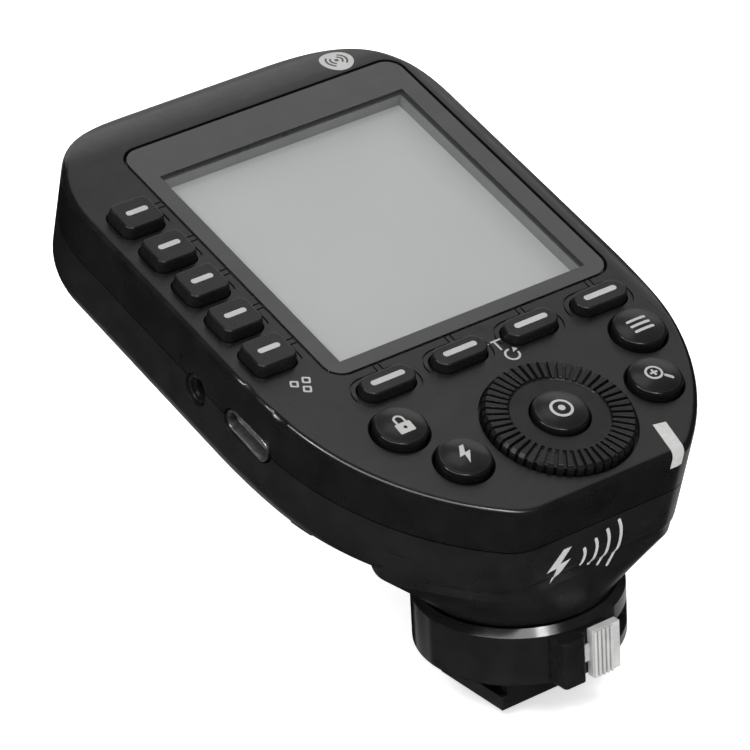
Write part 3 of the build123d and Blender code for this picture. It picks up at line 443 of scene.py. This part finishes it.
# marks on the panel itself: bracket with a circular arrow between two keys, and a stack of squares
tee = [[(-1.05, 0.13), (1.05, 0.13), (1.05, -0.13), (0.13, -0.13), (0.13, -1.75), (-0.13, -1.75), (-0.13, -0.13), (-1.05, -0.13)]]
printed("reset_bracket", [tee], panel(3.35, -6.25, 0), PX, PY, "top_shell", "case", PRINT_LIGHT)
loop = [arc(0, 0, 0.95, 0.30, 70, 340), [[(0.92 + 0.46, 0.10), (0.92 - 0.50, 0.16), (1.10, 0.78)]]]
printed("reset_arrow", turned(loop, 20, 4.1 - 4.1, 0), panel(4.10, -9.30, 0), PX, PY, "top_shell", "case", PRINT_LIGHT)
squares = [[rounded(x, y, 1.15, 1.15, 0.22), rounded(x, y, 0.61, 0.61, 0.10)] for x, y in ((-0.82, -0.72), (0.82, -0.72), (0.0, 0.86))]
printed("group_mark", turned(squares, 60), panel(-23.25, -1.15, 0), PX, PY, "top_shell", "case", PRINT_LIGHT)

# wireless disc on the far slope, and the radio waves on it
DISC = panel(18.9, 49.3, 0)
printed("radio_disc", [[circle(0, 0, 2.35, 64)]], DISC, PX, PY, "top_shell", "case", PRINT_DISC, cell=0.6, lift=0.03)
waves = [[circle(0, 0, 0.30, 20)], arc(0, 0, 0.85, 0.26, -50, 50), arc(0, 0, 1.45, 0.26, -50, 50), arc(0, 0, 0.85, 0.26, 130, 230), arc(0, 0, 1.45, 0.26, 130, 230)]
printed("radio_waves", waves, DISC, PX, PY, "top_shell", "case", PRINT_DARK, cell=0.5, lift=0.055)

# front wall of the lower shell: a bolt sending waves, in place of lettering
front = turned([bolt(2.9)], 0, -7.0, 0) + [arc(-5.8, 0, r, 0.46, -28, 28) for r in (3.0, 4.9, 6.8, 8.7)]
printed("front_mark", front, panel(2.0, -40.0, -12.2), PX, PZ, "bottom_shell", "case", PRINT_MARK, cell=0.7, lift=0.03)

# --------------------------------------------------------------- stage and light
me = bpy.data.meshes.new("floor")
me.from_pydata([(-6, -6, -0.0016), (6, -6, -0.0016), (6, 6, -0.0016), (-6, 6, -0.0016)], [], [(0, 1, 2, 3)])
floor = bpy.data.objects.new("floor", me)
bpy.context.scene.collection.objects.link(floor)
fm = Nodes("floor_white")
fm.bsdf.inputs["Base Color"].default_value = (0.90, 0.90, 0.90, 1)
fm.bsdf.inputs["Roughness"].default_value = 0.9
fm.bsdf.inputs["Emission Color"].default_value = (1, 1, 1, 1)
fm.bsdf.inputs["Emission Strength"].default_value = 0.62
me.materials.append(fm.mat)
floor.visible_glossy = False

world = bpy.data.worlds.new("studio")
bpy.context.scene.world = world
world.use_nodes = True
world.node_tree.nodes["Background"].inputs["Color"].default_value = (1, 1, 1, 1)
world.node_tree.nodes["Background"].inputs["Strength"].default_value = 0.55
world.cycles_visibility.glossy = False

CENTRE = Vector((0, 0.016, 0.034))


def softbox(name, direction, distance, w, h, radiance, roll=0.0):
    """A rectangular light that looks the same radiance from everywhere in front."""
    d = Vector(direction).normalized()
    li = bpy.data.lights.new(name, "AREA")
    li.shape = "RECTANGLE"
    li.size, li.size_y = w, h
    li.energy = math.pi * w * h * radiance
    o = bpy.data.objects.new(name, li)
    bpy.context.scene.collection.objects.link(o)
    o.matrix_world = Matrix.Translation(CENTRE + d * distance) @ d.to_track_quat("Z", "Y").to_matrix().to_4x4() @ Matrix.Rotation(roll, 4, "Z")
    return o


softbox("overhead_broad", (0.42, 0.22, 0.88), 0.80, 0.55, 0.95, 0.40)
softbox("overhead_near", (0.33, 0.19, 0.92), 0.405, 0.11, 0.11, 1.3)
softbox("right_low_card", (0.77, 0.28, -0.50), 1.0, 0.8, 0.6, 0.5)
softbox("low_back_card", (-0.17, 0.72, -0.67), 1.0, 0.55, 0.32, 0.45)
softbox("key_left", (-0.62, 0.03, 0.78), 1.0, 0.15, 0.20, 24.0)
softbox("key_front", (-0.05, -0.55, 0.83), 1.0, 0.13, 0.15, 24.0)
softbox("edge_strip", (-0.36, -0.46, 0.81), 1.0, 1.15, 0.32, 5.5)
softbox("back_high", (0.49, 0.63, 0.60), 1.0, 1.0, 0.34, 0.92)
softbox("back_mid", (0.49, 0.80, 0.33), 1.0, 1.0, 0.30, 0.70)
softbox("back_low", (0.49, 0.87, -0.05), 1.0, 1.2, 0.50, 0.30)

# -------------------------------------------------------------------------- camera
cam = bpy.data.cameras.new("camera")
cam.lens, cam.sensor_width, cam.clip_start, cam.clip_end = 232.294, 36.0, 0.01, 30.0
co = bpy.data.objects.new("camera", cam)
bpy.context.scene.collection.objects.link(co)
R = Vector((0.798421, -0.600062, -0.049476))
U = Vector((0.318315, 0.350929, 0.880639))
B = Vector((-0.511076, -0.718869, 0.471198))
co.matrix_world = Matrix(((R.x, U.x, B.x, -0.32366), (R.y, U.y, B.y, -0.42628), (R.z, U.z, B.z, 0.32890), (0, 0, 0, 1)))
bpy.context.scene.camera = co
bpy.context.scene.view_settings.view_transform = "Standard"

bpy.context.view_layer.update()
